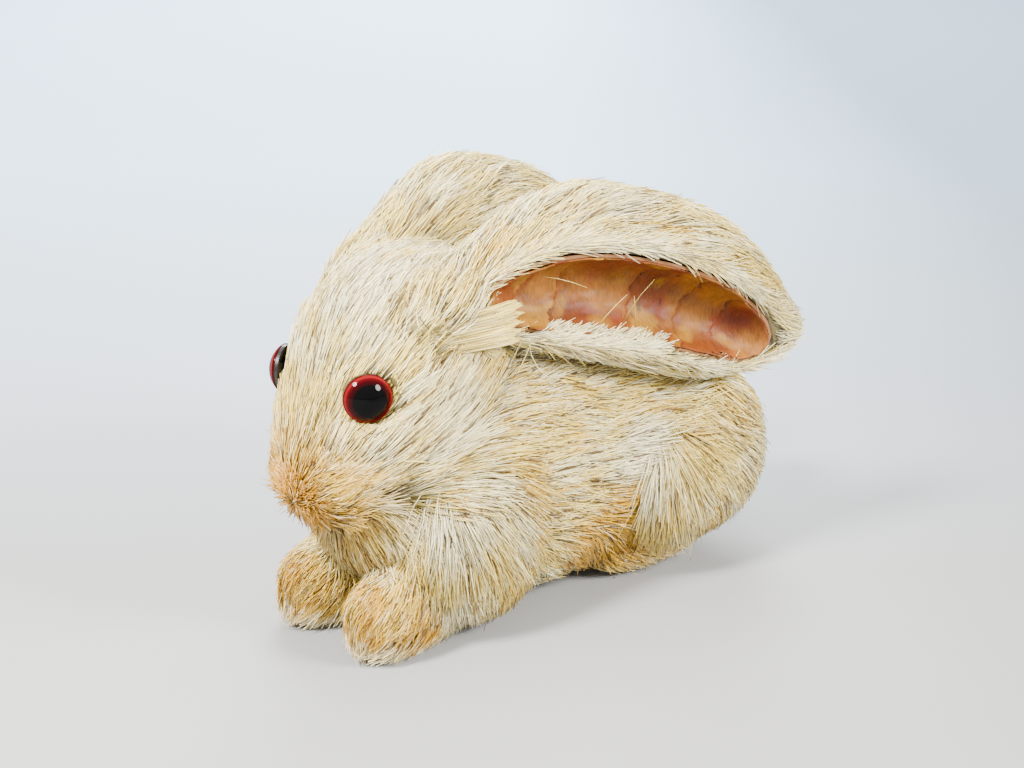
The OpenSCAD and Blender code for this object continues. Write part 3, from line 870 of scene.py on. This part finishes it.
def growTuft(side):
    # a blunt-cut tuft over the near end of the ear's hollow, with a jagged edge
    tuft = {"count": 620, "seed": 61, "up": (sides[side], 0, 0.2), "radius": (0.16, 0.24), "tone": "cream",
            "toneShare": 0.45}
    rng = np.random.default_rng(tuft["seed"] + sides[side])
    share = rng.random(tuft["count"])
    rank = rng.random(tuft["count"])
    starts = np.column_stack([27.2 + rank * 1.5, -66 + rng.random(tuft["count"]) * 14, 97.5 + share * 10])
    jag = 1.6 * np.sin(share * 31.0) + rng.normal(0, 0.8, tuft["count"])
    ends = np.column_stack([33.2 + rank * 2.0, -39.5 + jag + share * 1.5, 98.0 + share * 13.5])
    bow = np.zeros((tuft["count"], 3))
    bow[:, 0] = 1.0
    bow[:, 2] = rng.normal(0, 0.3, tuft["count"])
    flip = np.array([sides[side], 1, 1])
    return strandPiece(f"{side}RootTuft", starts * flip, ends * flip, bow * flip, "ear_coat", tuft)


def growStrays(side):
    # loose bristles across the hollow and below its lip
    stray = {"seed": 71, "up": (sides[side], 0, 0.2), "radius": (0.11, 0.16), "tone": "cream",
             "toneShare": 0.6}
    rng = np.random.default_rng(stray["seed"] + sides[side])
    lines = [
        ((35, -30, 98), (37, -16, 86)), ((34.5, -33, 97), (36, -27, 85)), ((35.5, -26, 97), (39, -8, 87)),
        ((35, -32, 98), (34.5, -38, 88)), ((36.5, -20, 96), (41, -6, 90)), ((37, 4, 95), (42, 14, 110)),
        ((38, 10, 94), (41, 6, 106)), ((43, 26, 112), (49, 46, 103)), ((38, -8, 97), (41, 3, 107)),
        ((35, -28, 117), (40, -14, 112)), ((34, -34, 100), (33, -40, 90)), ((36, -22, 97), (39, -13, 86)),
    ]
    starts = np.array([line[0] for line in lines], float)
    ends = np.array([line[1] for line in lines], float)
    bow = rng.normal(0, 0.6, starts.shape)
    flip = np.array([sides[side], 1, 1])
    piece = strandPiece(f"{side}Strays", starts * flip, ends * flip, bow * flip, "ear_coat", stray)
    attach(piece, f"{side}_ear")


earAlong = unit(earTip - earPivot)
for side in sides:
    growEarCoat(side)
    growStrays(side)
    flip = np.array([sides[side], 1, 1])
    for piece in [*growCollar(side), growTuft(side)]:
        ends = [Vector((earPivot + earAlong * offset) * flip * mm) for offset in (-13, 13)]
        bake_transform(piece)
print("ears grown")


# bark linings of the ears

def makeLining(side):
    # strips of thin bark lapped over each other on a slant, buckled a little where they were pressed in
    lining = {"voxel": 0.8, "rounds": 7, "slant": 0.55, "lap": 1.3, "buckle": 0.7,
              "seams": (-38.0, -22.0, 8.0, 30.0, 47.0)}
    piece = copyNodes([f"{side}_ear_lining"], f"{side}BarkLining")
    remeshSmooth(piece, lining["voxel"], lining["rounds"])
    corners = readArray(piece.data.vertices, "co", 3) / mm
    here = corners * np.array([sides[side], 1, 1])
    drift = noiseField(here, 12.0, 3.0) * 5.0 + noiseField(here, 4.0, 9.0) * 1.5
    along = here[:, 1] - lining["slant"] * (here[:, 2] - 100.0) + drift
    seams = np.array(lining["seams"])
    strip = np.searchsorted(seams, along)
    edges = np.concatenate([[-60.0], seams, [75.0]])
    past = along - edges[strip]
    share = past / (edges[strip + 1] - edges[strip])
    buckle = noiseField(here * [1.0, 1.0, 0.5], 6.0, 21.0) + 0.5 * noiseField(here, 2.6, 33.0)
    corners[:, 0] += sides[side] * (lining["lap"] * share + lining["buckle"] * np.maximum(buckle + 0.3, 0))
    piece.data.vertices.foreach_set("co", (corners * mm).astype(np.float32).ravel())
    piece.data.update()

    tan, rust, rose = colour(0.50, 0.31, 0.09), colour(0.42, 0.205, 0.035), colour(0.41, 0.15, 0.05)
    ochre, dark = colour(0.60, 0.42, 0.10), colour(0.07, 0.03, 0.01)
    tints = np.tile(tan, (len(here), 1))
    tints = blendTo(tints, rust, np.clip(noiseField(here, 16.0, 50.0) * 2.0 + 0.45, 0, 1))
    tints = blendTo(tints, rose, np.clip(noiseField(here, 10.0, 60.0) * 3.0 - 0.3, 0, 0.75))
    tints = blendTo(tints, ochre, np.clip(noiseField(here, 9.0, 70.0) * 3.0 - 0.5, 0, 0.8))
    # painted shade: a near-black line just past each seam, where one strip laps over the next; a wider rust band
    # follows it
    tints = blendTo(tints, dark, (1 - smoothStep(past, 0.3, 1.5)) * (strip > 0))
    tints = blendTo(tints, rust, (1 - smoothStep(past, 0.8, 6.0)) * (strip > 0) * 0.6)
    slits = noiseField(here * [1.0, 1.0, 0.3], 1.6, 90.0) * (np.abs(along - 22.0) < 12)
    tints = blendTo(tints, dark, np.clip(slits * 5.0 - 2.3, 0, 0.7))
    writeTint(piece.data, tints)
    piece.data.materials.clear()
    piece.data.materials.append(bark)
    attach(piece, f"{side}_ear")
    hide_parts(f"{side}_ear_lining")


bark = barkMaterial()
for side in sides:
    makeLining(side)
print("bark linings ready")


# eyes

def eyeMaterial(side, centre, axis, rimRadius):
    # a glossy dome: black in the middle, with a deep red ring and a painted brighter band near its rim, for light
    # caught in the edge of a clear dome
    material, surface, shade = newMaterial(f"{side}EyeDome", {
        "Roughness": 0.4, "Specular IOR Level": 0.0,
        "Coat Weight": 0.3, "Coat Roughness": 0.02, "Coat IOR": 1.35,
    })
    point = shade.node("ShaderNodeTexCoord", {}, {}, "Object")
    away = shade.node("ShaderNodeVectorMath", {"operation": "SUBTRACT"}, {0: point, 1: centre})
    out = shade.node("ShaderNodeVectorMath", {"operation": "DOT_PRODUCT"}, {0: away, 1: axis}, "Value")
    length = shade.node("ShaderNodeVectorMath", {"operation": "LENGTH"}, {0: away}, "Value")
    radius = shade.maths("MAXIMUM", length * length - out * out, 0.0) ** 0.5
    # painted light: the red brightens up to the stop at 0.95, then darkens again at the very edge
    stops = [
        (0.0, (0.0005, 0.0005, 0.001)), (0.66, (0.001, 0.001, 0.001)), (0.70, (0.010, 0.0004, 0.001)),
        (0.80, (0.018, 0.0004, 0.001)), (0.89, (0.055, 0.001, 0.002)), (0.95, (0.16, 0.006, 0.007)),
        (1.0, (0.03, 0.001, 0.001)),
    ]
    ring = shade.node("ShaderNodeValToRGB", {"stops": stops}, {"Fac": radius * (1 / rimRadius)})
    feed(shade, surface, "Base Color", ring)
    return material


def makeEye(side):
    eye = {"radius": 7.5, "dome": 3.8, "rim": 0.8, "forward": 26.0}
    sign = sides[side]
    low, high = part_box(f"{side}_eye_pupil")
    turn = math.radians(eye["forward"])
    axis = Vector((sign * math.cos(turn), -math.sin(turn), 0))
    foot = (low + high) / 2 - axis * (eye["rim"] / 2) * mm
    ball = (eye["radius"] ** 2 + eye["dome"] ** 2) / (2 * eye["dome"])
    deselect()
    bpy.ops.mesh.primitive_uv_sphere_add(segments=96, ring_count=96, radius=ball * mm)
    piece = bpy.context.object
    piece.name = f"{side}Eye"
    bpy.ops.object.mode_set(mode="EDIT")
    bpy.ops.mesh.select_all(action="SELECT")
    cut = (ball - eye["dome"]) * mm
    bpy.ops.mesh.bisect(plane_co=(0, 0, cut), plane_no=(0, 0, 1), clear_inner=True, use_fill=True)
    bpy.ops.mesh.extrude_region_move(TRANSFORM_OT_translate={"value": (0, 0, -eye["rim"] * mm)})
    bpy.ops.mesh.select_all(action="SELECT")
    bpy.ops.transform.translate(value=(0, 0, eye["rim"] * mm - cut))
    bpy.ops.mesh.normals_make_consistent(inside=False)
    bpy.ops.object.mode_set(mode="OBJECT")
    bevel = piece.modifiers.new("bevel", "BEVEL")
    bevel.width = 0.25 * mm
    bevel.segments = 3
    bevel.limit_method = "ANGLE"
    applyAll(piece)
    piece.rotation_euler = axis.to_track_quat("Z", "Y").to_euler()
    piece.location = foot
    bpy.ops.object.transform_apply(location=True, rotation=True, scale=True)
    bpy.ops.object.shade_smooth_by_angle(angle=math.radians(50))
    piece.data.materials.append(eyeMaterial(side, tuple(foot), tuple(axis), eye["radius"] * mm))
    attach(piece, "body")
    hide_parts(f"{side}_eye_dome", f"{side}_eye_iris", f"{side}_eye_pupil")


for side in sides:
    makeEye(side)
print("eyes ready")


# finishes of the CAD nodes

finishes = {
    "pressed_fibre": plainMaterial("pressedFibre", colour(0.55, 0.43, 0.28), colour(0.72, 0.60, 0.42),
                                   {"scale": 260.0, "rough": 0.75, "bump": 0.6}),
    "dowel_wood": plainMaterial("dowelWood", colour(0.66, 0.50, 0.32), colour(0.82, 0.67, 0.46),
                                {"scale": 120.0, "rough": 0.5, "bump": 0.2, "stretch": (6, 6, 1)}),
    "bamboo": plainMaterial("bamboo", colour(0.72, 0.60, 0.36), colour(0.86, 0.75, 0.50),
                            {"scale": 200.0, "rough": 0.4, "bump": 0.2, "stretch": (1, 6, 6)}),
    "felt": plainMaterial("felt", colour(0.27, 0.25, 0.22), colour(0.40, 0.37, 0.33),
                          {"scale": 900.0, "rough": 0.8, "bump": 0.9}),
    "card": plainMaterial("card", colour(0.42, 0.27, 0.15), colour(0.54, 0.37, 0.22),
                          {"scale": 300.0, "rough": 0.75, "bump": 0.4}),
    "wire": plainMaterial("wire", colour(0.55, 0.54, 0.51), colour(0.70, 0.69, 0.66),
                          {"scale": 500.0, "rough": 0.25, "bump": 0.1, "metallic": 1.0}),
    "shank_black": plainMaterial("shankPlastic", colour(0.05, 0.05, 0.05), colour(0.09, 0.09, 0.09),
                                 {"scale": 400.0, "rough": 0.2, "bump": 0.1}),
}
for row in frame["record"]["subparts"]:
    node = frame["nodes"][row["node"]]
    finish = finishes.get(row["material_slot"])
    if finish and not node.hide_render:
        node.data.materials.clear()
        node.data.materials.append(finish)
